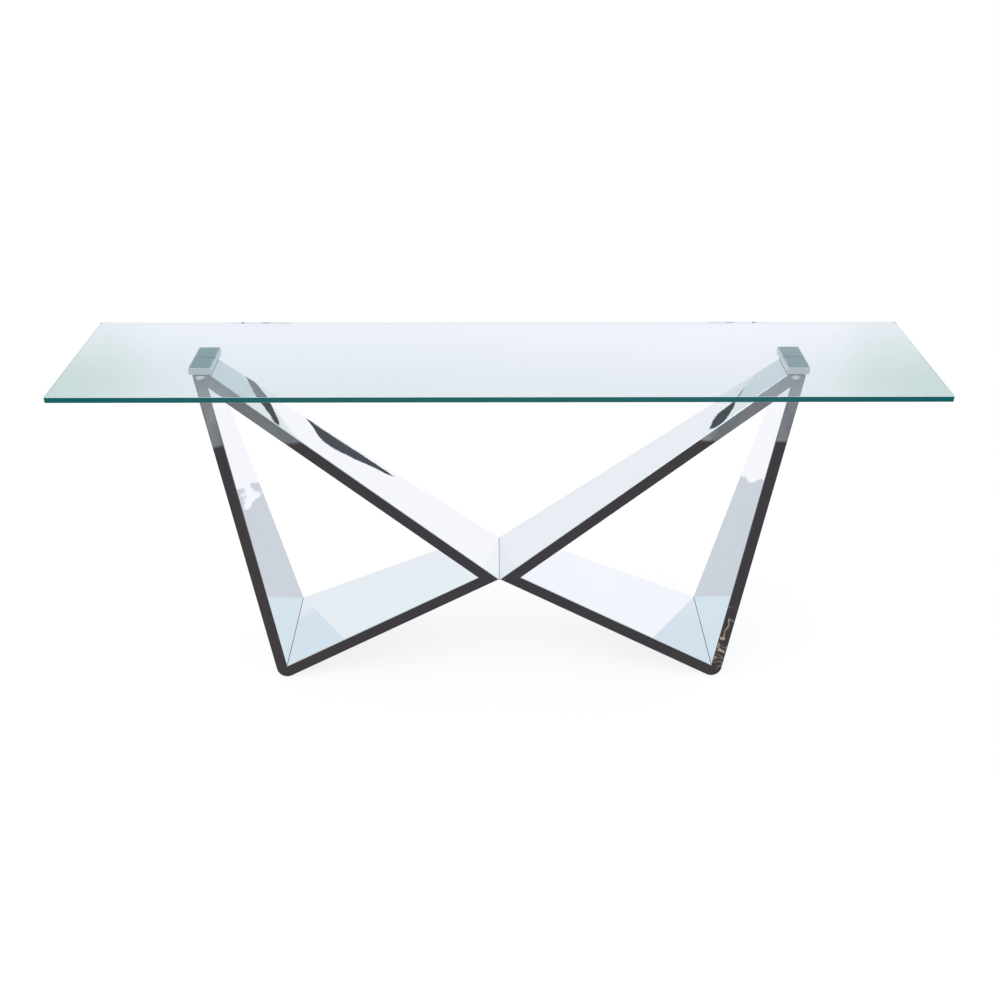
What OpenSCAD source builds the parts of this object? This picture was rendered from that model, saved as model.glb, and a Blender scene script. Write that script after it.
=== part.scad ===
// Glass console table on a polished steel base.
// Two mitred box-section frames lean outwards from a welded centre seam. A head block on each
// frame carries the glass. X runs along the table, Y from front to back, Z up. The origin is on
// the floor under the middle of the glass.

/* [Glass top] */
// Length of the glass along X
top_w = 1800; // [1500:10:2200]
// Depth of the glass along Y
top_d = 400; // [340:5:500]
// Thickness of the glass
top_t = 12; // [8:1:19]
// Height of the glass top above the floor
top_h = 750; // [620:5:920]
// Radius of the glass's four corners seen from above
top_corner_r = 4; // [2:0.5:20]
// Width of the ground arris on the glass's long and short edges
top_arris = 0.8; // [0.3:0.1:2]

/* [Head blocks] */
// Distance from the table's middle to the centre of a head block
head_x = 626.5; // [520:0.5:720]
// Width of a head block along X
block_w = 46; // [43:1:70]
// Depth of a head block along Y
block_d = 112; // [96:1:150]
// Height of a head block
block_h = 15; // [12:1:30]
// Rounding of a head block's upright corners
block_r = 2; // [0.5:0.5:5]
// Thickness of the clear bonding pads between block and glass
pad_t = 1; // [0.5:0.1:3]
// Margin from a pad to the block's sides
pad_inset = 2; // [1:0.5:6]
// Gap between the front and the back pad
pad_gap = 5; // [2:0.5:12]

/* [Apex plates] */
// Height of the plate that closes a frame's top
plate_h = 7.5; // [5:0.5:12]
// How far the plate stands back from the frame's flat top all round
plate_inset = 1; // [0:0.5:3]
// Distance between the two head screws of one block
screw_pitch = 56; // [40:1:64]
// Thread diameter of a head screw
screw_d = 8; // [5:1:10]
// Head diameter of a countersunk head screw
screw_head_d = 15; // [11:0.5:18]
// Width across the flats of a head screw's hexagon socket
hex_af = 5; // [3:0.5:8]
// Depth of the hexagon socket
hex_deep = 2.5; // [1.5:0.5:4]
// Length of a head screw under the top of its head
screw_len = 25; // [20:1:40]
// Gap between a screw's shank and the hole in the block
screw_clear = 0.25; // [0.1:0.05:0.6]

/* [Base frames] */
// How far the base stands behind the middle of the glass
base_set_back = 9; // [0:1:20]
// Width of a frame's flat top
apex_w = 40; // [34:1:42]
// Distance from the middle to the centre of the rounded foot
foot_x = 495; // [380:1:600]
// Outer radius of the rounded foot
foot_r = 24; // [14:1:30]
// Height of the centre seam above the floor
seam_z = 238; // [150:1:330]
// Height of the flat where the two tips meet
seam_flat = 1.5; // [1:0.5:8]
// Face width of the uprights
upright_face = 25.5; // [20:0.5:32]
// Face width of the diagonals
diagonal_face = 26.5; // [20:0.5:32]
// Face width of the lower rails
rail_face = 27.5; // [24:0.5:34]
// Radius inside the window at the seam end
window_r = 4; // [2:0.5:8]
// Depth of a frame along Y at its flat top
apex_depth = 87; // [70:1:92]
// Depth of a frame along Y at its foot
foot_depth = 291; // [200:1:320]
// Depth of a frame along Y at the centre seam
seam_depth = 182; // [120:1:260]
// Wall of the box sections
wall = 1.5; // [1:0.1:3]
// Leg of the weld bead under the centre seam
weld_leg = 4; // [2:0.5:8]

/* [Floor glides] */
// Thickness of a glide under the lowest line of the foot
glide_t = 1.2; // [0.8:0.2:5]
// Width of a glide along X
glide_w = 14; // [8:1:18]
// Length of a glide along Y
glide_l = 34; // [20:1:60]
// Distance from a frame's front or back face to its glide
glide_inset = 12; // [6:1:30]

/* [Hidden] */
$fn = 96;
eps = 0.01;
glass_z = top_h - top_t;
block_z = glass_z - pad_t - block_h;
apex_z = block_z - plate_h;
reach = 2 * (top_w + top_h);

// ---- Plane geometry of the left frame, in X and Z ----

function unit(v) = v / norm(v);
// A line is [point, direction]; its left side is where its normal points.
function line(p, q) = [p, unit(q - p)];
function left_of(l) = [-l[1][1], l[1][0]];
function shifted(l, d) = [l[0] + d * left_of(l), l[1]];
function cross2(u, v) = u[0] * v[1] - u[1] * v[0];
function meet(k, l) = k[0] + k[1] * cross2(l[0] - k[0], l[1]) / cross2(k[1], l[1]);
// Tangent from point p to the circle of radius r about c, passing it on the given side (1 or -1).
function tangent(p, c, r, side) =
    let (d = norm(c - p), turn = side * asin(r / d), u = unit(c - p))
    [p, [u[0] * cos(turn) - u[1] * sin(turn), u[0] * sin(turn) + u[1] * cos(turn)]];

foot_c = [-foot_x, glide_t + foot_r];
apex_out = [-head_x - apex_w / 2, apex_z];
apex_in = [-head_x + apex_w / 2, apex_z];
seam_top = [0, seam_z + seam_flat / 2];
seam_low = [0, seam_z - seam_flat / 2];

// The frame's outer lines run down the upright, along under the rail, and up the diagonal.
upright_out = tangent(apex_out, foot_c, foot_r, -1);
rail_back = tangent(seam_low, foot_c, foot_r, 1);
rail_out = [seam_low, -rail_back[1]];
diagonal_out = line(seam_top, apex_in);
upright_in = shifted(upright_out, upright_face);
rail_in = shifted(rail_out, rail_face);
diagonal_in = shifted(diagonal_out, diagonal_face);

foot_corner = meet(upright_out, rail_out);
tip_corner = meet(rail_out, diagonal_out);
window_foot = meet(upright_in, rail_in);
window_tip = meet(rail_in, diagonal_in);
window_apex = meet(diagonal_in, upright_in);
butt_top = meet(upright_in, [apex_in, [1, 0]]);

// Centre of a corner's rounding, and the two points where the arc leaves the sides.
function bisector(p, a, b) = unit(unit(a - p) + unit(b - p));
function half_angle(p, a, b) = acos(bisector(p, a, b) * unit(a - p));
function round_centre(p, a, b, r) = p + bisector(p, a, b) * r / sin(half_angle(p, a, b));
function round_start(p, a, b, r) = p + unit(a - p) * r / tan(half_angle(p, a, b));

// A ring line set d inside the steel: outer lines move inwards, window lines move outwards.
function outer_corners(d) =
    let (u = shifted(upright_out, d), r = shifted(rail_out, d), g = shifted(diagonal_out, d),
         top = [apex_in + [0, d > 0 ? plate_h : 0], [1, 0]])
    [meet(u, top), meet(u, r), meet(r, g), meet(g, top)];
function window_corners(d) =
    let (u = shifted(upright_in, -d), r = shifted(rail_in, -d), g = shifted(diagonal_in, -d))
    [meet(u, r), meet(r, g), meet(g, u)];

// The outline stops short of the middle plane, where the two frames meet.
module outer_face(d) {
    p = outer_corners(d);
    r = foot_r - d;
    difference() {
        union() {
            polygon([p[0], round_start(p[1], p[0], p[2], r), round_start(p[1], p[2], p[0], r),
                     p[2], p[3]]);
            translate(round_centre(p[1], p[0], p[2], r)) circle(r = r);
        }
        translate([-d, 0]) square(top_h);
    }
}

module window_face(d) {
    p = window_corners(d);
    r = window_r + d;
    union() {
        polygon([p[0], round_start(p[1], p[0], p[2], r), round_start(p[1], p[2], p[0], r), p[2]]);
        translate(round_centre(p[1], p[0], p[2], r)) circle(r = r);
    }
}

// The three members part along the foot mitre, the tip mitre and the butt joint at the apex.
foot_end = foot_corner + (foot_corner - window_foot);
upright_region = [apex_out + [-apex_w, 0], foot_end, window_foot, butt_top];
rail_region = [foot_end, [0, foot_end[1]], seam_low, tip_corner, window_tip, window_foot];
diagonal_region = [butt_top, window_apex, window_tip, tip_corner, seam_top, [0, apex_z]];

// ---- The leaning front and back faces ----

apex_mid = [-head_x, -apex_depth / 2, apex_z];
foot_mid = [foot_corner[0], -foot_depth / 2, foot_corner[1]];
seam_mid = [0, -seam_depth / 2, seam_z];
face_normal = unit(cross(seam_mid - apex_mid, foot_mid - apex_mid));
// Half depth of the frame at a point of its face.
function half_depth(x, z) =
    (face_normal[0] * (x - apex_mid[0]) + face_normal[2] * (z - apex_mid[2])) / face_normal[1]
    - apex_mid[1];

// Everything in front of the front face, moved d into the steel.
module before_face(d) {
    outward = face_normal[1] < 0 ? face_normal : -face_normal;
    translate(apex_mid - d * outward)
        rotate([0, acos(outward[2]), atan2(outward[1], outward[0])])
            translate([-reach / 2, -reach / 2, 0]) cube(reach);
}

module both_faces(d) {
    before_face(d);
    mirror([0, 1, 0]) before_face(d);
}

module prism() {
    rotate([90, 0, 0]) linear_extrude(height = 2 * foot_depth, center = true) children();
}

module member(region) {
    difference() {
        prism() intersection() {
            difference() {
                outer_face(0);
                window_face(0);
            }
            polygon(region);
        }
        both_faces(0);
        difference() {
            prism() difference() {
                outer_face(wall);
                window_face(wall);
            }
            both_faces(wall);
        }
    }
}

// side is -1 for the left frame and 1 for the right one.
module on_side(side) {
    translate([0, base_set_back, 0]) if (side < 0) children(); else mirror([1, 0, 0]) children();
}

module upright(side) { color("#b9bdc4") on_side(side) member(upright_region); }
module diagonal(side) { color("#c3c7cd") on_side(side) member(diagonal_region); }
module lower_rail(side) { color("#aeb3ba") on_side(side) member(rail_region); }

// ---- Head blocks, plates, screws and pads ----

module rounded_plate(w, d, h, r) {
    linear_extrude(height = h) difference() {
        square([w, d], center = true);
        for (sx = [-1, 1], sy = [-1, 1])
            translate([sx * w / 2, sy * d / 2]) difference() {
                square(2 * r, center = true);
                translate([-sx * r, -sy * r]) circle(r = r);
            }
    }
}

module at_screws() {
    for (s = [-1, 1]) translate([0, s * screw_pitch / 2, 0]) children();
}

// Shank and countersunk head, with the top of the head at z = 0.
module screw_shape(grow, len) {
    head_h = (screw_head_d - screw_d) / 2;
    translate([0, 0, -len]) cylinder(d = screw_d + 2 * grow, h = len);
    translate([0, 0, -head_h]) cylinder(d1 = screw_d + 2 * grow, d2 = screw_head_d + 2 * grow, h = head_h);
}

module at_head(side, z) { translate([side * head_x, base_set_back, z]) children(); }

module head_block(side) {
    color("#c9ced6") at_head(side, block_z) difference() {
        rounded_plate(block_w, block_d, block_h, block_r);
        translate([0, 0, block_h]) at_screws() screw_shape(screw_clear, block_h + eps);
    }
}

module apex_plate(side) {
    color("#3f4248") at_head(side, apex_z) difference() {
        translate([0, 0, plate_h / 2])
            cube([apex_w - 2 * plate_inset, apex_depth - 2 * plate_inset, plate_h], center = true);
        translate([0, 0, -eps]) at_screws() cylinder(d = screw_d, h = plate_h + 2 * eps);
    }
}

module head_screws(side) {
    color("#5a5d63") at_head(side, block_z + block_h) at_screws() difference() {
        screw_shape(0, screw_len);
        translate([0, 0, -hex_deep]) cylinder(d = hex_af / cos(30), h = hex_deep + eps, $fn = 6);
    }
}

// end is -1 for the front pad and 1 for the back one.
module pad(side, end) {
    pad_l = (block_d - pad_gap) / 2 - pad_inset;
    color("#8fa9ac") at_head(side, glass_z - pad_t)
        translate([0, end * (pad_gap + pad_l) / 2, 0])
            rounded_plate(block_w - 2 * pad_inset, pad_l, pad_t, block_r);
}

// ---- Glass, weld and glides ----

module arris_bar(w, h) {
    a = top_arris;
    polygon([[-w / 2 + a, 0], [w / 2 - a, 0], [w / 2, a], [w / 2, h - a],
             [w / 2 - a, h], [-w / 2 + a, h], [-w / 2, h - a], [-w / 2, a]]);
}

module glass_top() {
    color("#bfe3e0") translate([0, 0, glass_z]) intersection() {
        rounded_plate(top_w, top_d, top_t, top_corner_r);
        rotate([90, 0, 0]) linear_extrude(height = 2 * top_d, center = true) arris_bar(top_w, top_t);
        rotate([90, 0, 90]) linear_extrude(height = 2 * top_w, center = true) arris_bar(top_d, top_t);
    }
}

// The bead fills the groove between the undersides of the two rails.
module centre_weld() {
    leg_end = seam_low + weld_leg * rail_back[1];
    color("#9a9da3") translate([0, base_set_back, 0]) difference() {
        prism() polygon([seam_low, leg_end, [-leg_end[0], leg_end[1]]]);
        both_faces(0);
        mirror([1, 0, 0]) both_faces(0);
    }
}

// A glide hugs the lowest line of the foot from below.
module glide(side, end) {
    y = half_depth(foot_c[0], glide_t) - glide_inset - glide_l / 2;
    color("#d8dadc") on_side(side) translate([foot_c[0], end * y, 0]) difference() {
        translate([-glide_w / 2, -glide_l / 2, 0])
            cube([glide_w, glide_l, foot_c[1] - sqrt(foot_r * foot_r - glide_w * glide_w / 4)]);
        translate([0, 0, foot_c[1]]) rotate([90, 0, 0]) cylinder(r = foot_r, h = 2 * glide_l, center = true);
    }
}

glass_top();
pad(-1, -1);  // left_front_pad
pad(-1, 1);  // left_back_pad
pad(1, -1);  // right_front_pad
pad(1, 1);  // right_back_pad
head_block(-1);  // left_head_block
head_block(1);  // right_head_block
head_screws(-1);  // left_head_screws
head_screws(1);  // right_head_screws
apex_plate(-1);  // left_apex_plate
apex_plate(1);  // right_apex_plate
upright(-1);  // left_upright
upright(1);  // right_upright
diagonal(-1);  // left_diagonal
diagonal(1);  // right_diagonal
lower_rail(-1);  // left_lower_rail
lower_rail(1);  // right_lower_rail
centre_weld();
glide(-1, -1);  // left_front_glide
glide(-1, 1);  // left_back_glide
glide(1, -1);  // right_front_glide
glide(1, 1);  // right_back_glide
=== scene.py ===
# %% [markdown]
# # A glass console table on a polished steel base
# The table is a long sheet of clear glass that lies on two head blocks. Each block sits on a
# triangle of welded box section, and the two triangles meet in one line in the middle. The parts
# come in as a fixed frame. This lesson dresses them: it rounds the edges as a polisher does, gives
# glass and steel their finish, and builds the small things that a welder and a fitter add.

# %% Load the frame
import math

import bmesh
import bpy
from mathutils import Matrix, Vector


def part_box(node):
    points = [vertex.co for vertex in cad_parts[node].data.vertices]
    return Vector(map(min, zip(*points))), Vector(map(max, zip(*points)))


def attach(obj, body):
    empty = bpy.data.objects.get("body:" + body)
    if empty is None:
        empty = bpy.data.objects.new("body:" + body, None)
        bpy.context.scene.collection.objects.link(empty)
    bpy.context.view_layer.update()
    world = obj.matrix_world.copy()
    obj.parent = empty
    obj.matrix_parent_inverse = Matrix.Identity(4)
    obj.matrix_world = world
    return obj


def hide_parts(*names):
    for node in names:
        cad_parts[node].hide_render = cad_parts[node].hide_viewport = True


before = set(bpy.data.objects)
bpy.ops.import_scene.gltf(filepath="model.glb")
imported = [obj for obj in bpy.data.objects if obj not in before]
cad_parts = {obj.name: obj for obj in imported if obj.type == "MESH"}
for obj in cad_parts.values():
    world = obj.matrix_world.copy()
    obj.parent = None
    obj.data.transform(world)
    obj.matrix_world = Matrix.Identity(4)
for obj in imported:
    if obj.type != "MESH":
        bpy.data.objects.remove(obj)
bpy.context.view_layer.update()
scene = bpy.context.scene
MM = 0.001

# %% [markdown]
# ## Places that everything else is measured from
# The glass gives the table's length and depth. The base stands a little behind the middle of the
# glass, so its own middle plane comes from a lower rail, which is the same in front and behind.

# %% Measure the frame
glass_low, glass_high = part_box("glass_top")
rail_low, rail_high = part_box("left_lower_rail")
base_mid_y = (rail_low.y + rail_high.y) / 2
table_top = glass_high.z
print("base middle at y =", round(base_mid_y, 4), "table top at", round(table_top, 3))


# %% [markdown]
# ## The camera
# The table is seen from the front, from a standing person's eye height, and a little to the left
# of its middle. The lens is a normal one and stands near, so the near edge of the glass looks
# longer than the far one. The camera is placed from the table's front edge and top.

# %% Camera
CAMERA_BACK = 2.11
CAMERA_UP = 0.989
CAMERA_LEFT = 0.0163
PITCH = math.radians(30.11)
YAW = math.radians(0.44)
ROLL = math.radians(0.11)
FOCAL_MM = 42.38
camera_data = bpy.data.cameras.new("camera")
camera = bpy.data.objects.new("camera", camera_data)
scene.collection.objects.link(camera)
camera_data.lens = FOCAL_MM
camera_data.sensor_width = 36
camera.location = (-CAMERA_LEFT, glass_low.y - CAMERA_BACK, table_top + CAMERA_UP)
turn = Matrix.Rotation(-YAW, 3, "Z") @ Matrix.Rotation(math.pi / 2 - PITCH, 3, "X")
camera.rotation_euler = (turn @ Matrix.Rotation(ROLL, 3, "Z")).to_euler()
scene.camera = camera
print("camera at", [round(c, 3) for c in camera.location])


# %% [markdown]
# ## Shader maths as plain expressions
# A finish is a sum of noises, masks and mixes. Wiring each Math node by hand hides the idea, so
# `Sock` wraps a socket: `1 - mask * 0.5` then adds the nodes by itself. `Tree.node` makes any other
# node from its type, its settings and what its sockets get.

# %% The socket class and the tree helper
class Sock:
    """A node's output that takes part in sums and products."""

    def __init__(self, tree, out):
        self.tree, self.out = tree, out

    def maths(self, operation, *values):
        return self.tree.node("ShaderNodeMath", {"operation": operation}, dict(enumerate(values)))

    def __add__(self, other):
        return self.maths("ADD", self, other)

    def __radd__(self, other):
        return self.maths("ADD", other, self)

    def __sub__(self, other):
        return self.maths("SUBTRACT", self, other)

    def __rsub__(self, other):
        return self.maths("SUBTRACT", other, self)

    def __mul__(self, other):
        return self.maths("MULTIPLY", self, other)

    def __truediv__(self, other):
        return self.maths("DIVIDE", self, other)

    def __gt__(self, other):
        return self.maths("GREATER_THAN", self, other)

    def __lt__(self, other):
        return self.maths("LESS_THAN", self, other)

    def size(self):
        return self.maths("ABSOLUTE", self)

    def step(self, low, high):
        """0 at low and 1 at high, with a smooth change between; low may be the larger one."""
        if low > high:
            return 1 - self.step(high, low)
        settings = {"interpolation_type": "SMOOTHSTEP", "clamp": True}
        return self.tree.node("ShaderNodeMapRange", settings,
                              {0: self, 1: low, 2: high, 3: 0.0, 4: 1.0})


class Tree:
    """A shader's node tree, for a material or for the world."""

    def __init__(self, owner):
        owner.use_nodes = True
        self.tree = owner.node_tree
        self.tree.nodes.clear()

    def node(self, kind, settings=None, inputs=None, output=0):
        made = self.tree.nodes.new(kind)
        for name, value in (settings or {}).items():
            setattr(made, name, value)
        for key, value in (inputs or {}).items():
            socket = made.inputs[key]
            if isinstance(value, Sock):
                self.tree.links.new(value.out, socket)
            else:
                socket.default_value = value
        return Sock(self, made.outputs[output])

    def mix(self, factor, a, b):
        """Colour a where the factor is 0, and colour b where it is 1."""
        return self.node("ShaderNodeMix", {"data_type": "RGBA"}, {0: factor, 6: a, 7: b}, 2)

    def place(self):
        return self.node("ShaderNodeTexCoord", output="Object")

    def noise(self, scale, detail=2.0, roughness=0.5, stretch=(1, 1, 1)):
        where = self.node("ShaderNodeMapping", inputs={"Vector": self.place(), "Scale": stretch})
        return self.node("ShaderNodeTexNoise", inputs={
            "Vector": where, "Scale": scale, "Detail": detail, "Roughness": roughness})

    def axes(self, vector):
        """The three parts of a vector, as sockets."""
        made = self.node("ShaderNodeSeparateXYZ", inputs={0: vector}).out.node
        return [Sock(self, out) for out in made.outputs]

    def bump(self, height, distance, under=None):
        inputs = {"Height": height, "Distance": distance}
        if under is not None:
            inputs["Normal"] = under
        return self.node("ShaderNodeBump", inputs=inputs)

    def surface(self, shader, kind="ShaderNodeOutputMaterial"):
        end = self.tree.nodes.new(kind)
        self.tree.links.new(shader.out, end.inputs["Surface"])


def new_finish(name):
    material = bpy.data.materials.new(name)
    return material, Tree(material)


print("shader helpers ready")


# %% [markdown]
# ## The studio
# Polished steel has no colour of its own: it shows the room. So the room is designed. What lights
# the floor is an even white dome. What the steel and the glass reflect is drawn by direction: a
# white wall and ceiling, a dark room behind the camera below eye level, and a softly shaded wall
# higher up, which darkens the near half of the glass.

# %% World
DOME = 0.98
world = bpy.data.worlds.new("studio")
scene.world = world
sky = Tree(world)
direction = sky.node("ShaderNodeTexCoord", output="Generated")
dir_x, dir_y, dir_z = sky.axes(direction)


def room_noise(scale, detail, distortion=0.0):
    return sky.node("ShaderNodeTexNoise", inputs={
        "Vector": direction, "Scale": scale, "Detail": detail, "Distortion": distortion})


BRIGHT_WALL = (0.985, 0.99, 1.03, 1)
PALE_WALL = (0.865, 0.91, 0.945, 1)
HIGH_WALL = (0.76, 0.85, 0.835, 1)
SHADED_WALL = (0.65, 0.785, 0.735, 1)
CYAN_CEILING = (0.775, 0.88, 0.93, 1)
FAR_FLOOR = (0.645, 0.69, 0.74, 1)
DARK_ROOM = (0.054, 0.050, 0.056, 1)
ROOM_EDGE = (0.262, 0.276, 0.290, 1)
EDGE_STREAK = (0.165, 0.178, 0.195, 1)
EDGE_LOW = (0.125, 0.150, 0.165, 1)
DARK_FLAG = (0.075, 0.085, 0.10, 1)
DOORWAY = (0.20, 0.22, 0.25, 1)
WARM_CORNER = (0.064, 0.054, 0.052, 1)
LAMP = (0.55, 0.64, 0.62, 1)
BRASS = (0.42, 0.37, 0.28, 1)
FLAG_BRIM = 0.364
SOFT_EDGE = 0.0005

sideways = dir_x.size()
across, up = dir_x / dir_y, dir_z / dir_y
behind = sky.mix(dir_x.step(-0.15, 0.15) + dir_z.step(0.02, -0.06), PALE_WALL, BRIGHT_WALL)
above_flags = (up + across.size() * FLAG_BRIM + dir_x * 0.0194).step(0.4705, 0.4755)
shaded = sideways.step(0.362, 0.350) * dir_z.step(0.42, 0.38)
high_tone = sky.mix(shaded, HIGH_WALL, SHADED_WALL)
high_part = above_flags * sideways.step(0.27, 0.31) * sideways.step(0.43, 0.40)
behind = sky.mix(high_part, behind, high_tone)
behind = sky.mix((dir_z + sideways * 0.5).step(0.615, 0.635), behind, CYAN_CEILING)
floor_line = dir_z + dir_x * 0.021 + (room_noise(60.0, 1.5) - 0.5) * 0.055
behind = sky.mix(floor_line.step(-0.3725, -0.3745), behind, FAR_FLOOR)
open_door = sideways.step(0.56, 0.66) * dir_z.step(0.0, -0.10)
behind = sky.mix(open_door, behind, DOORWAY)
print("wall behind the table ready")

# %% [markdown]
# Four narrow dark flags hang before the wall. A studio uses them to draw dark lines into polished
# metal. Each is a lens shape, given by its two ends, its half width, how full it is towards its
# second end, and how far it bows. The ends are slopes: how far they lie to the side and above, for
# each metre ahead.

# %% Flags


def flag(start, end, half_width, bulge, bow):
    """A lens between two points of the wall, wider near its end where bulge is above a half."""
    length = math.dist(start, end)
    ux, uy = (end[0] - start[0]) / length, (end[1] - start[1]) / length
    wobble = (room_noise(30.0, 1.0) - 0.5) * half_width
    along = ((across - start[0]) * ux + (up - start[1]) * uy) / length
    inside = along.maths("PINGPONG", along, 1.0) * (1 - along)
    aside = ((up - start[1]) * ux - (across - start[0]) * uy + wobble - inside * (4 * bow)).size()
    width = inside * (along * (2 * bulge - 1) + (1 - bulge)) * (8 * half_width)
    return (width - aside).step(0.0, SOFT_EDGE) * (along > 0) * (along < 1)


for start, end, half_width, bulge, bow in (
        ((0.356, 0.3205), (0.4370, 0.3125), 0.0040, 0.72, 0.0056),
        ((-0.388, 0.3388), (-0.414, 0.3312), 0.0009, 0.50, 0.0),
        ((-0.404, 0.3338), (-0.4385, 0.3200), 0.0054, 0.60, -0.0015),
        ((0.4340, 0.2885), (0.5175, 0.2218), 0.0062, 0.48, 0.0030)):
    behind = sky.mix(flag(start, end, half_width, bulge, bow), behind, DARK_FLAG)
print("flags ready")

# %% [markdown]
# ## The room behind the camera
# Below eye level the room behind the camera is dark, with a warm tone in places, a small lamp on
# either side and a curled basket on the right. Only glossy rays see the drawn room. Every other ray
# gets the even white dome, so the drawing does not tint the light.

# %% The room behind the camera, and what sees which
streaks = room_noise(14.0, 3.0, 1.5).step(0.35, 0.65)
edge_tone = sky.mix(streaks, ROOM_EDGE, EDGE_STREAK)
edge_tone = sky.mix(dir_z.step(-0.150, -0.120), edge_tone, EDGE_LOW)
low_line = dir_x * 0.0153 - dir_z - (room_noise(40.0, 2.0) - 0.5) * 0.004
dark_room = low_line.step(0.1775, 0.1810)
ahead = sky.mix(dir_z.step(-0.05, 0.10), edge_tone, HIGH_WALL)
ahead = sky.mix(dark_room, ahead, DARK_ROOM)
warm = room_noise(9.0, 2.0).step(0.45, 0.62) * 0.6
ahead = sky.mix(warm * dark_room, ahead, WARM_CORNER)


def round_patch(centre, size, edge=0.25, lean=0.0):
    """1 inside an ellipse of the room, and in its mirror image on the other side."""
    far_x = (across.size() - dir_x * lean - centre[0]) / size[0]
    far_z = (up.size() - centre[1]) / size[1]
    return (far_x * far_x + far_z * far_z).step(1 + edge, 1 - edge) * (dir_z < 0)


lamp = round_patch((0.1819, 0.1274), (0.0029, 0.0018), lean=0.033)
ahead = sky.mix(lamp, ahead, LAMP)
curls = 1 - (room_noise(70.0, 1.0, 1.6) - 0.5).size().step(0.015, 0.045)
basket = round_patch((0.140, 0.360), (0.014, 0.032), 0.5) * (dir_x > 0) * curls
ahead = sky.mix(basket, ahead, BRASS)
reflected = sky.mix(dir_y.step(-0.12, 0.12), ahead, behind)
shiny = sky.node("ShaderNodeLightPath", output="Is Glossy Ray")
dome = sky.node("ShaderNodeBackground", inputs={"Color": (1.0, 1.0, 1.0, 1), "Strength": DOME})
room = sky.node("ShaderNodeBackground", inputs={"Color": reflected, "Strength": 1.0})
sky.surface(sky.node("ShaderNodeMixShader", inputs={0: shiny, 1: dome, 2: room}),
            "ShaderNodeOutputWorld")
scene.view_settings.view_transform = "Standard"
print("world ready")

# %% [markdown]
# ## Floor and key light
# The pale floor is wide enough to fill the view and mostly glows by itself, so that it ends up
# nearly white. One large soft lamp from the front left gives the table a faint shadow. Neither is
# mirrored in the steel, where the drawn room takes their place.

# %% Floor and soft key light
FLOOR_REACH = 60.0
FLOOR_GLOW = 1.07
FLOOR_MATT = 0.22
floor_mesh = bpy.data.meshes.new("floor")
half = FLOOR_REACH / 2
floor_mesh.from_pydata([(-half, -half, 0), (half, -half, 0), (half, half, 0), (-half, half, 0)], [],
                       [(0, 1, 2, 3)])
floor = bpy.data.objects.new("floor", floor_mesh)
scene.collection.objects.link(floor)
floor_finish, tree = new_finish("pale_floor")
grain = tree.noise(3.0, 3.0)
floor_colour = tree.mix(grain, (0.955, 0.955, 0.955, 1), (0.975, 0.975, 0.975, 1))
soft_light = tree.node("ShaderNodeEmission", inputs={"Color": floor_colour, "Strength": FLOOR_GLOW})
matt = tree.node("ShaderNodeBsdfDiffuse", inputs={"Color": floor_colour})
tree.surface(tree.node("ShaderNodeMixShader", inputs={0: FLOOR_MATT, 1: soft_light, 2: matt}))
floor_mesh.materials.append(floor_finish)
floor.visible_glossy = False

KEY_WATTS = 22
key_data = bpy.data.lights.new("key", "AREA")
key_data.shape = "RECTANGLE"
key_data.size, key_data.size_y = 3.0, 1.6
key_data.energy = KEY_WATTS
key = bpy.data.objects.new("key", key_data)
scene.collection.objects.link(key)
key.location = (-1.6, -1.4, 3.4)
key.rotation_euler = (Vector((0, 0, 0.4)) - key.location).to_track_quat("-Z", "Y").to_euler()
key.visible_glossy = False
print("floor and key light ready")


# %% [markdown]
# ## Polished steel
# A mirror polish is never quite flat. The buffing wheel leaves long shallow waves, which bend
# straight reflections, and fine hairlines along its path. Fingers and cloths leave faint patches
# where the shine is a little softer. The waves and hairlines are bump, and the patches are
# roughness. All of it is laid in the object's own space, so it stays put on the steel.

# %% Steel finishes
def polished_steel(name, colour, grain_along):
    material, tree = new_finish(name)
    waves = tree.noise(5.0, 1.0)
    pebble = tree.noise(38.0, 2.0, 0.45)
    hairline = tree.noise(900.0, 2.0, 0.6, grain_along)
    patches = tree.noise(9.0, 4.0, 0.62).step(0.52, 0.75)
    tint = tree.mix(tree.noise(2.6, 2.0), colour, tuple(0.965 * c for c in colour[:3]) + (1,))
    roughness = 0.004 + patches * 0.010 + hairline * 0.003
    normal = tree.bump(waves, 0.45 * MM)
    normal = tree.bump(pebble, 0.005 * MM, under=normal)
    normal = tree.bump(hairline, 0.0003 * MM, under=normal)
    tree.surface(tree.node("ShaderNodeBsdfPrincipled", inputs={
        "Base Color": tint, "Metallic": 1.0, "Roughness": roughness, "Normal": normal}))
    return material


# All three are one polished steel. The diagonal's colour is a little lighter, painted light for its
# brighter top; the rail's is a touch darker and bluer.
STEEL = (0.935, 0.945, 0.965, 1)
upright_finish = polished_steel("polished_upright", STEEL, (1, 1, 0.03))
lit_diagonal_finish = polished_steel("polished_diagonal", (0.95, 0.955, 0.97, 1), (0.04, 1, 0.06))
rail_finish = polished_steel("polished_rail", (0.925, 0.94, 0.965, 1), (0.03, 1, 0.08))


PAD_GAP_MID = (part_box("left_front_pad")[1].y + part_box("left_back_pad")[0].y) / 2
BLOCK_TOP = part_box("left_head_block")[1].z
# Dark teal painted shade for the gap between the two pads, under the glass.
PAD_GAP_SHADE = (0.008, 0.030, 0.033, 1)


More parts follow.
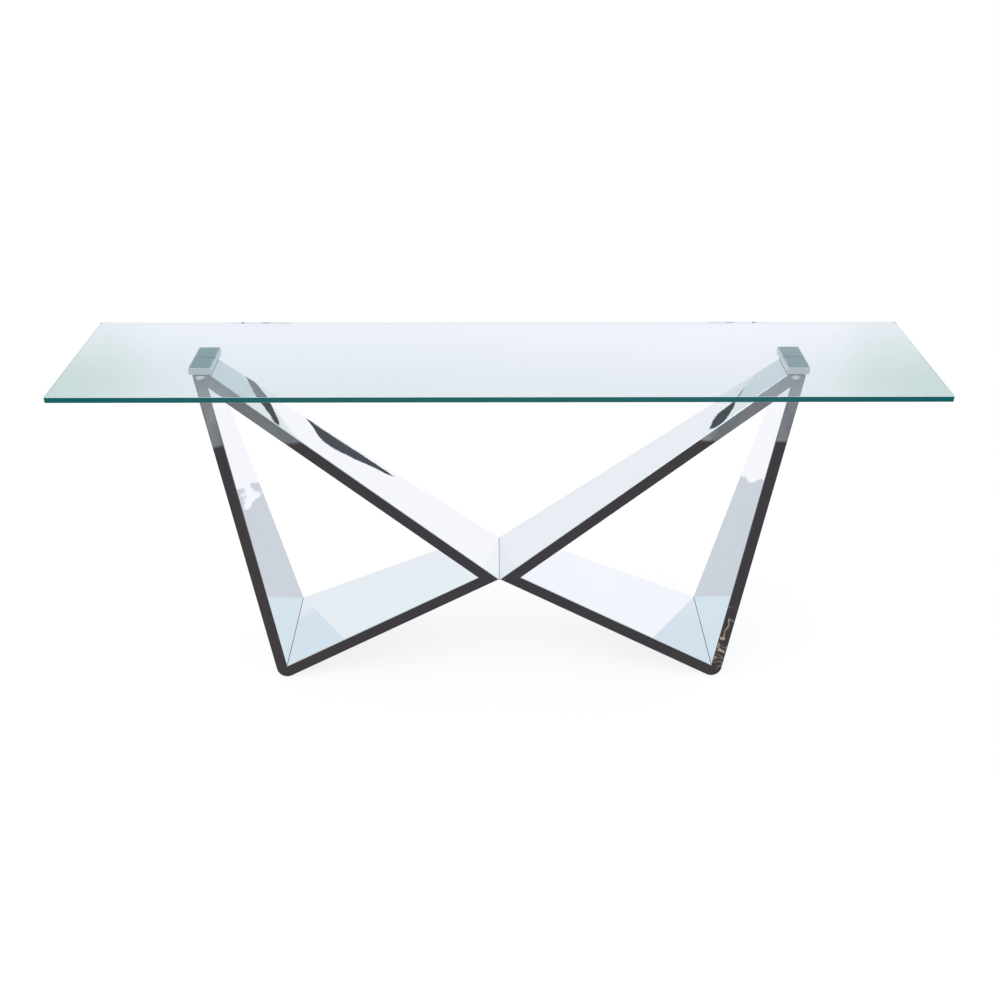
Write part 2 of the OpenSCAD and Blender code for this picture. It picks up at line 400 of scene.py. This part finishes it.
def satin_steel(name, light, dark, roughness, grain_along=(0.02, 1, 1), metal=1.0, painted_gap_shade=False):
    material, tree = new_finish(name)
    hairline = tree.noise(1400.0, 3.0, 0.6, grain_along)
    cloud = tree.noise(30.0, 3.0)
    colour = tree.mix(hairline * 0.5 + cloud * 0.5, light, dark)
    # A ragged dark strip on the block's top between the pads is painted shade in the gap under the
    # glass.
    if painted_gap_shade:
        at_y, at_z = tree.axes(tree.place())[1:]
        strip = ((at_y - PAD_GAP_MID).size() + (cloud - 0.5) * 2 * MM) < 4 * MM
        colour = tree.mix(strip * (at_z > BLOCK_TOP - 0.3 * MM), colour, PAD_GAP_SHADE)
    normal = tree.bump(hairline, 0.01 * MM)
    tree.surface(tree.node("ShaderNodeBsdfPrincipled", inputs={
        "Base Color": colour, "Metallic": metal, "Roughness": roughness + cloud * 0.08,
        "Normal": normal}))
    return material


block_finish = satin_steel("satin_block", (0.67, 0.72, 0.74, 1), (0.58, 0.63, 0.655, 1), 0.34,
                           metal=0.3, painted_gap_shade=True)
# The plate's dark colour is painted shade in the recess under the head block.
shaded_plate_finish = satin_steel("dark_plate", (0.13, 0.135, 0.145, 1), (0.07, 0.07, 0.08, 1), 0.38)
screw_finish = satin_steel("screw_steel", (0.55, 0.55, 0.57, 1), (0.38, 0.38, 0.4, 1), 0.3, (1, 1, 0.05))
weld_finish = satin_steel("ground_weld", (0.62, 0.61, 0.6, 1), (0.36, 0.34, 0.33, 1), 0.3, (1, 0.1, 1))
print("steel finishes:", len(bpy.data.materials))


# %% [markdown]
# ## Glass, its edge, the pads and the plastic
# Float glass is nearly colourless through its thickness and deep green-blue along its length, so
# the faces and the ground edge are two finishes on one sheet. Seen from outside, the edge shows the
# colour of nearly two metres of glass. Seen from inside, it is a clear boundary again. The clear
# faces are tinted a little more towards the front edge and the ends. This tint is painted shade,
# which adds to the reflection of the softly shaded wall.

# %% Glass and plastic finishes
GLASS_IOR = 1.52


def clear_glass(tree, colour, roughness):
    return tree.node("ShaderNodeBsdfPrincipled", inputs={
        "Base Color": colour, "Roughness": roughness, "IOR": GLASS_IOR, "Transmission Weight": 1.0})


glass_finish, tree = new_finish("clear_glass")
spot_x, spot_y = tree.axes(tree.place())[:2]
streaks = tree.noise(1.6, 3.0, stretch=(0.5, 2.2, 1)) - 0.5
# The darker tint towards the front edge and the ends is painted shade, added to the mirrored shaded
# wall.
near = (spot_y + streaks * 0.16).step(glass_high.y, glass_low.y)
ends = (spot_x.size() + streaks * 0.2).step(0.52, 0.92) * near
glass_tint_painted_shade = tree.mix(near, (0.845, 0.875, 0.945, 1), (0.735, 0.795, 0.838, 1))
glass_tint_painted_shade = tree.mix(ends, glass_tint_painted_shade, (0.575, 0.695, 0.69, 1))
smear = tree.noise(6.0, 4.0, 0.6).step(0.6, 0.8) * 0.012
tree.surface(clear_glass(tree, glass_tint_painted_shade, smear))

edge_finish, tree = new_finish("glass_edge")
bands = tree.noise(5.0, 3.0, 0.6, (1, 1, 0.0))
edge_x, _, edge_z = tree.axes(tree.place())
half_edge = (glass_high.z - glass_low.z) / 2
middle = 1 - ((edge_z - (glass_high.z - half_edge)).size() / half_edge).step(0.3, 1.0)
far_out = edge_x.size() + (bands - 0.5) * 0.3
deep = tree.mix(far_out.step(0.45, 0.85), (0.014, 0.118, 0.124, 1), (0.0015, 0.108, 0.116, 1))
deep = tree.mix(bands.step(0.5, 0.75) * 0.6, deep, (0.004, 0.145, 0.150, 1))
rim = tree.mix(middle, (0.016, 0.098, 0.100, 1), deep)
outside = tree.node("ShaderNodeBsdfPrincipled", inputs={
    "Base Color": rim, "Roughness": 0.12 + bands * 0.06, "IOR": GLASS_IOR})
facing = tree.node("ShaderNodeNewGeometry", output="Backfacing")
tree.surface(tree.node("ShaderNodeMixShader", inputs={
    0: facing, 1: outside, 2: clear_glass(tree, (0.93, 0.98, 0.98, 1), 0.0)}))

arris_finish, tree = new_finish("ground_arris")
grit = tree.noise(700.0, 3.0)
pale = tree.mix(grit, (0.72, 0.88, 0.885, 1), (0.82, 0.95, 0.95, 1))
tree.surface(tree.node("ShaderNodeBsdfPrincipled", inputs={
    "Base Color": pale, "Roughness": 0.45 + grit * 0.1, "Normal": tree.bump(grit, 0.01 * MM)}))

pad_finish, tree = new_finish("bonding_pad")
cloud = tree.noise(60.0, 4.0, 0.6, (1, 0.5, 1))
wetting = tree.noise(25.0, 2.0).step(0.58, 0.72)
colour = tree.mix(cloud, (0.050, 0.225, 0.222, 1), (0.080, 0.272, 0.268, 1))
colour = tree.mix(wetting * 0.4, colour, (0.22, 0.38, 0.38, 1))
tree.surface(tree.node("ShaderNodeBsdfPrincipled", inputs={
    "Base Color": colour, "Roughness": 0.42 + cloud * 0.15,
    "Normal": tree.bump(cloud, 0.05 * MM)}))

glide_finish, tree = new_finish("glide_plastic")
fleck = tree.noise(300.0, 3.0)
scuff = tree.noise(45.0, 4.0, 0.65, (1, 0.15, 1)).step(0.55, 0.75)
colour = tree.mix(scuff, (0.80, 0.81, 0.81, 1), (0.63, 0.63, 0.62, 1))
tree.surface(tree.node("ShaderNodeBsdfPrincipled", inputs={
    "Base Color": colour, "Roughness": 0.4 + scuff * 0.25, "Normal": tree.bump(fleck, 0.03 * MM)}))
print("finishes:", len(bpy.data.materials))


# %% [markdown]
# ## Turning a plan into a finished piece
# Most pieces are a flat outline with a thickness: a plate, a block, a pad, a box section between its
# front and back face. `solid` closes two matching outlines into a skin. Each edge gets a bevel
# weight, and a corner that is not bevelled is marked sharp. The Bevel and Weighted Normal modifiers
# then round the edges and keep the large faces flat, as they are after grinding. The result is made
# a plain mesh.

# %% Mesh helpers
SHARP_ANGLE = math.radians(20)


def link_mesh(name, mesh):
    piece = bpy.data.objects.new(name, mesh)
    scene.collection.objects.link(piece)
    return piece


def solid(name, near, far, edge_weight):
    """A closed skin between two outlines. edge_weight(a, b, kind) gives each edge's bevel share."""
    bm = bmesh.new()
    weights = bm.edges.layers.float.new("bevel_weight_edge")
    rings = [[bm.verts.new(p) for p in ring] for ring in (near, far)]
    faces = [bm.faces.new(rings[0]), bm.faces.new(reversed(rings[1]))]
    count = len(near)
    for i in range(count):
        j = (i + 1) % count
        faces.append(bm.faces.new((rings[0][j], rings[0][i], rings[1][i], rings[1][j])))
    for edge in bm.edges:
        a, b = edge.verts
        same_ring = (a in rings[0]) == (b in rings[0])
        edge[weights] = edge_weight(a.co, b.co, "ring" if same_ring else "side")
    bmesh.ops.recalc_face_normals(bm, faces=bm.faces)
    for face in faces:
        face.smooth = True
    for edge in bm.edges:
        edge.smooth = edge[weights] > 0 or edge.calc_face_angle() < SHARP_ANGLE
    mesh = bpy.data.meshes.new(name)
    bm.to_mesh(mesh)
    bm.free()
    return link_mesh(name, mesh)


def plain(piece):
    """Applies the piece's modifiers and removes them."""
    graph = bpy.context.evaluated_depsgraph_get()
    finished = bpy.data.meshes.new_from_object(piece.evaluated_get(graph))
    piece.modifiers.clear()
    piece.data = finished
    return piece


def round_edges(piece, radius, segments=4):
    bevel = piece.modifiers.new("round", "BEVEL")
    bevel.limit_method = "WEIGHT"
    bevel.width, bevel.segments = radius, segments
    bevel.use_clamp_overlap = True
    flat = piece.modifiers.new("flat", "WEIGHTED_NORMAL")
    flat.mode, flat.weight, flat.keep_sharp = "FACE_AREA", 100, True
    return plain(piece)


def fit_out(piece, finish, slot, *nodes):
    """Gives a piece its finish, hides the frame's nodes that it stands for and hangs it under the root.
    The slot is not used.
    """
    if not piece.data.materials:
        piece.data.materials.append(finish)
    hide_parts(*nodes)
    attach(piece, "root")
    return piece


print("mesh helpers ready")


# %% [markdown]
# ## The box sections
# Each triangle is made of box section: an upright, a diagonal and a lower rail, mitred or butted.
# Their front and back faces lean, and the sides run straight from front to back. So one outline,
# the front face, holds the whole shape, and the back face is its mirror image. The outline is read
# from the frame itself: the flat faces that look forward in the front half make up the front face.
# The long edges are rounded. At a joint the edge is nearly sharp, so that two members close up to
# one face, and the crease between them keeps a dark hairline along the weld seam, painted shade in the
# crease.

# %% Front outline of a member
def front_outline(node):
    """The front face's corners, in order, from the frame's own mesh."""
    bm = bmesh.new()
    bm.from_mesh(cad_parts[node].data)
    bmesh.ops.remove_doubles(bm, verts=bm.verts, dist=0.02 * MM)
    bm.normal_update()
    front = [f for f in bm.faces if f.normal.y < -0.9 and f.calc_center_median().y < base_mid_y]
    keep = set(front)
    border = {}
    for face in front:
        for loop in face.loops:
            if sum(f in keep for f in loop.edge.link_faces) == 1:
                border[loop.vert.index] = (loop.link_loop_next.vert.index, loop.vert.co.copy())
    start = min(border, key=lambda i: border[i][1].x)
    ring, at = [], start
    while True:
        ring.append(border[at][1])
        at = border[at][0]
        if at == start:
            break
    bm.free()
    return without_straight_points(ring)


def without_straight_points(ring):
    kept = []
    for before, here, after in zip([ring[-1]] + ring, ring, ring[1:] + ring[:1]):
        if (here - before).angle(after - here) > math.radians(0.3):
            kept.append(here)
    return kept


for node in ("left_upright", "left_diagonal", "left_lower_rail"):
    print(node, "front corners:", len(front_outline(node)))

# %% [markdown]
# The two longest sides of an outline are the member's own long edges. What is left and is not short
# is an end that meets another member. Only those ends are joints. The faces of a low crease are
# given a dark finish, which is painted shade in the crease.

# %% Build the six members
EDGE_RADIUS = 1.6 * MM
HAIRLINE = 0.5
TIGHT_JOINT = 0.02
TOUCH = 0.05 * MM
SHORT_SIDE = 12 * MM
TIP_REACH = 0.2 * MM
CREASE_TOP = 300 * MM
# A dark finish for the faces of a low crease: painted shade in the crease along the weld seam.
crease_shade_finish = satin_steel("crease_painted_shade", (0.20, 0.21, 0.22, 1), (0.12, 0.12, 0.13, 1), 0.4)


def joint_lines(ring):
    """The outline's straight ends, where other members meet this one."""
    sides = [(ring[i], ring[(i + 1) % len(ring)]) for i in range(len(ring))]
    sides.sort(key=lambda s: (s[0] - s[1]).length, reverse=True)
    return [s for s in sides[2:] if (s[0] - s[1]).length > SHORT_SIDE]


def single_tip(ring, part):
    """Keeps one corner at the middle seam, the one that the diagonal and the rail share."""
    tip = sorted((p for p in ring if abs(p.x) < TIP_REACH), key=lambda p: p.z)
    dropped = tip[1:] if part == "diagonal" else tip[:-1]
    return [p for p in ring if p not in dropped]


def folded(point):
    """The point, or its mirror image in front of the base's middle plane."""
    if point.y > base_mid_y:
        return Vector((point.x, 2 * base_mid_y - point.y, point.z))
    return point


def near_line(point, line, reach):
    along = line[1] - line[0]
    share = (folded(point) - line[0]).dot(along) / along.length_squared
    closest = line[0] + along * min(1, max(0, share))
    return (folded(point) - closest).length < reach


def in_crease(point, joints, reach):
    """Whether the point lies on the line that runs from front to back through a low joint's end."""
    if point.z > CREASE_TOP:
        return False
    ends = [end for line in joints for end in line]
    return any(math.hypot(point.x - end.x, point.z - end.z) < reach for end in ends)


def build_member(side, part, finish):
    node = side + "_" + part
    near = single_tip(front_outline(node), part)
    far = [Vector((p.x, 2 * base_mid_y - p.y, p.z)) for p in near]
    joints = joint_lines(near)

    def weight(a, b, kind):
        touching = a if kind == "side" else (a + b) / 2
        if not any(near_line(touching, line, TOUCH) for line in joints):
            return float(kind == "ring")
        return HAIRLINE if kind == "side" and in_crease(a, joints, TOUCH) else TIGHT_JOINT

    piece = solid(node + "_shell", near, far, weight)
    round_edges(piece, EDGE_RADIUS)
    piece.data.materials.append(finish)
    piece.data.materials.append(crease_shade_finish)
    # Narrow faces in a low crease get the dark finish, painted shade in the crease.
    for face in piece.data.polygons:
        corners = [piece.data.vertices[i].co for i in face.vertices]
        narrow = max(p.x for p in corners) - min(p.x for p in corners) < SHORT_SIDE
        if narrow and all(in_crease(p, joints, 2 * HAIRLINE * EDGE_RADIUS) for p in corners):
            face.material_index = 1
    return fit_out(piece, finish, "polished_steel", node)


for side in ("left", "right"):
    for part, finish in (("upright", upright_finish), ("diagonal", lit_diagonal_finish),
                         ("lower_rail", rail_finish)):
        made = build_member(side, part, finish)
        seams = sum(face.material_index for face in made.data.polygons)
        print(made.name, len(made.data.polygons), "faces,", seams, "in seams")


# %% [markdown]
# ## Plates, blocks and pads
# A head block is a thick satin plate with rounded corners. The dark plate under it closes the frame,
# and its dark colour is painted shade in the recess under the block. Two thin pads on top bond it
# to the glass. All four are the same kind of thing: a rounded rectangle with a thickness and a
# small edge radius, taken from the box of its node. A pad ends just below the glass, so that the
# two faces never lie in one plane.

# %% Rounded plates
ARC_STEPS = 8


def rounded_rectangle(low, high, z, radius):
    ring = []
    corners = [(high.x, high.y), (low.x, high.y), (low.x, low.y), (high.x, low.y)]
    for quarter, (cx, cy) in enumerate(corners):
        mid_x = cx - radius if cx == high.x else cx + radius
        mid_y = cy - radius if cy == high.y else cy + radius
        for step in range(ARC_STEPS + 1):
            turn = math.pi / 2 * (quarter + step / ARC_STEPS)
            ring.append(Vector((mid_x + radius * math.cos(turn), mid_y + radius * math.sin(turn), z)))
    return ring


def plate_piece(node, corner, edge, finish, slot, segments=3, clear=0.0):
    low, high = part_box(node)
    high = high - Vector((0, 0, clear))
    piece = solid(node + "_body", rounded_rectangle(low, high, low.z, corner),
                  rounded_rectangle(low, high, high.z, corner),
                  lambda a, b, kind: 1.0 if kind == "ring" else 0.0)
    round_edges(piece, edge, segments)
    return fit_out(piece, finish, slot, node)


def repaint(node, finish):
    """Gives a node of the frame, whose mesh stays as it is, a new finish."""
    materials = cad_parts[node].data.materials
    materials.clear()
    materials.append(finish)


PAD_CLEAR = 0.05 * MM
for side in ("left", "right"):
    plate_piece(side + "_head_block", 1 * MM, 0.7 * MM, block_finish, "polished_steel")
    plate_piece(side + "_apex_plate", 1.2 * MM, 0.4 * MM, shaded_plate_finish, "dark_plate")
    for end in ("front", "back"):
        plate_piece(f"{side}_{end}_pad", 0.8 * MM, 0.25 * MM, pad_finish, "bond_pad", 2, PAD_CLEAR)
    repaint(side + "_head_screws", screw_finish)
print("head pieces ready")


# %% [markdown]
# ## The glass sheet
# The sheet is one closed skin with a ground arris on both rims and slightly rounded corners. Faces
# that look up or down are clear, upright ones are the edge, and the slanted ones are the arris.

# %% Glass
GLASS_CORNER = 4 * MM
ARRIS = 0.4 * MM
glass = solid("glass_sheet", rounded_rectangle(glass_low, glass_high, glass_low.z, GLASS_CORNER),
              rounded_rectangle(glass_low, glass_high, glass_high.z, GLASS_CORNER),
              lambda a, b, kind: 1.0 if kind == "ring" else 0.0)
round_edges(glass, ARRIS, 1)
glass.data.materials.append(glass_finish)
glass.data.materials.append(edge_finish)
glass.data.materials.append(arris_finish)
for face in glass.data.polygons:
    tilt = abs(face.normal.z)
    face.material_index = 0 if tilt > 0.99 else 1 if tilt < 0.1 else 2
fit_out(glass, glass_finish, "glass", "glass_top")
glass.visible_shadow = False
print("glass faces:", len(glass.data.polygons))


# %% [markdown]
# ## Weld bead, as a repeating form
# A weld bead is a row of overlapping ripples, one for each dip of the filler rod. It repeats one
# small form along a line, which is what Geometry Nodes are for: a line of points, one instance on
# each, then Realize Instances and Set Material.

# %% A tree that repeats a form along a line
def repeat_tree(name, finish):
    tree = bpy.data.node_groups.new(name, "GeometryNodeTree")
    face = tree.interface
    face.new_socket("Geometry", in_out="INPUT", socket_type="NodeSocketGeometry")
    for label, kind in (("Count", "NodeSocketInt"), ("Start", "NodeSocketVector"),
                        ("End", "NodeSocketVector"), ("Size", "NodeSocketVector"),
                        ("Jitter", "NodeSocketFloat"), ("Seed", "NodeSocketInt")):
        face.new_socket(label, in_out="INPUT", socket_type=kind)
    face.new_socket("Geometry", in_out="OUTPUT", socket_type="NodeSocketGeometry")
    add = tree.nodes.new
    source, sink = add("NodeGroupInput"), add("NodeGroupOutput")
    row = add("GeometryNodeMeshLine")
    row.mode = "END_POINTS"
    form = add("GeometryNodeMeshIcoSphere")
    form.inputs["Radius"].default_value = 0.5
    form.inputs["Subdivisions"].default_value = 2
    place = add("GeometryNodeInstanceOnPoints")
    chance = add("FunctionNodeRandomValue")
    chance.data_type = "FLOAT"
    one_less, one_more = add("ShaderNodeMath"), add("ShaderNodeMath")
    one_less.operation, one_more.operation = "SUBTRACT", "ADD"
    one_less.inputs[0].default_value = one_more.inputs[0].default_value = 1.0
    grow = add("ShaderNodeVectorMath")
    grow.operation = "SCALE"
    shade = add("GeometryNodeSetShadeSmooth")
    whole, paint = add("GeometryNodeRealizeInstances"), add("GeometryNodeSetMaterial")
    paint.inputs["Material"].default_value = finish
    wires = [
        (source.outputs["Count"], row.inputs["Count"]),
        (source.outputs["Start"], row.inputs["Start Location"]),
        (source.outputs["End"], row.inputs["Offset"]),
        (row.outputs["Mesh"], place.inputs["Points"]),
        (form.outputs["Mesh"], place.inputs["Instance"]),
        (source.outputs["Jitter"], one_less.inputs[1]), (source.outputs["Jitter"], one_more.inputs[1]),
        (one_less.outputs[0], chance.inputs[2]), (one_more.outputs[0], chance.inputs[3]),
        (source.outputs["Seed"], chance.inputs["Seed"]),
        (source.outputs["Size"], grow.inputs[0]), (chance.outputs[1], grow.inputs["Scale"]),
        (grow.outputs[0], place.inputs["Scale"]),
        (place.outputs["Instances"], whole.inputs["Geometry"]),
        (whole.outputs["Geometry"], shade.inputs["Geometry"]),
        (shade.outputs["Geometry"], paint.inputs["Geometry"]),
        (paint.outputs["Geometry"], sink.inputs["Geometry"])]
    for out, into in wires:
        tree.links.new(out, into)
    return tree


def repeated(name, tree, **values):
    piece = link_mesh(name, bpy.data.meshes.new(name))
    modifier = piece.modifiers.new("row", "NODES")
    modifier.node_group = tree
    for item in tree.interface.items_tree:
        if item.in_out == "INPUT" and item.name in values:
            modifier[item.identifier] = values[item.name]
    return plain(piece)


print("repeat tree ready")

# %% [markdown]
# The bead runs under the line where the two triangles meet, and stops a little short of its ends.

# %% Weld bead under the centre seam
RIPPLES = 96
RIPPLE_SIZE = (5.4 * MM, 5.0 * MM, 3.6 * MM)
BEAD_MARGIN = 3 * MM
weld_low, weld_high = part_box("centre_weld")
bead_z = weld_high.z - 0.1 * MM
bead = repeated("weld_bead", repeat_tree("weld_ripples", weld_finish), Count=RIPPLES,
                Start=(0, weld_low.y + BEAD_MARGIN, bead_z),
                End=(0, weld_high.y - BEAD_MARGIN, bead_z), Size=RIPPLE_SIZE, Jitter=0.07, Seed=4)
fit_out(bead, weld_finish, "weld_metal", "centre_weld")
print("weld ripples:", len(bead.data.polygons), "faces")

# %% [markdown]
# The glides are plain plastic strips under the feet. They keep the frame's own shape.

# %% Glides
for side in ("left", "right"):
    for end in ("front", "back"):
        repaint(f"{side}_{end}_glide", glide_finish)
print("glides ready")
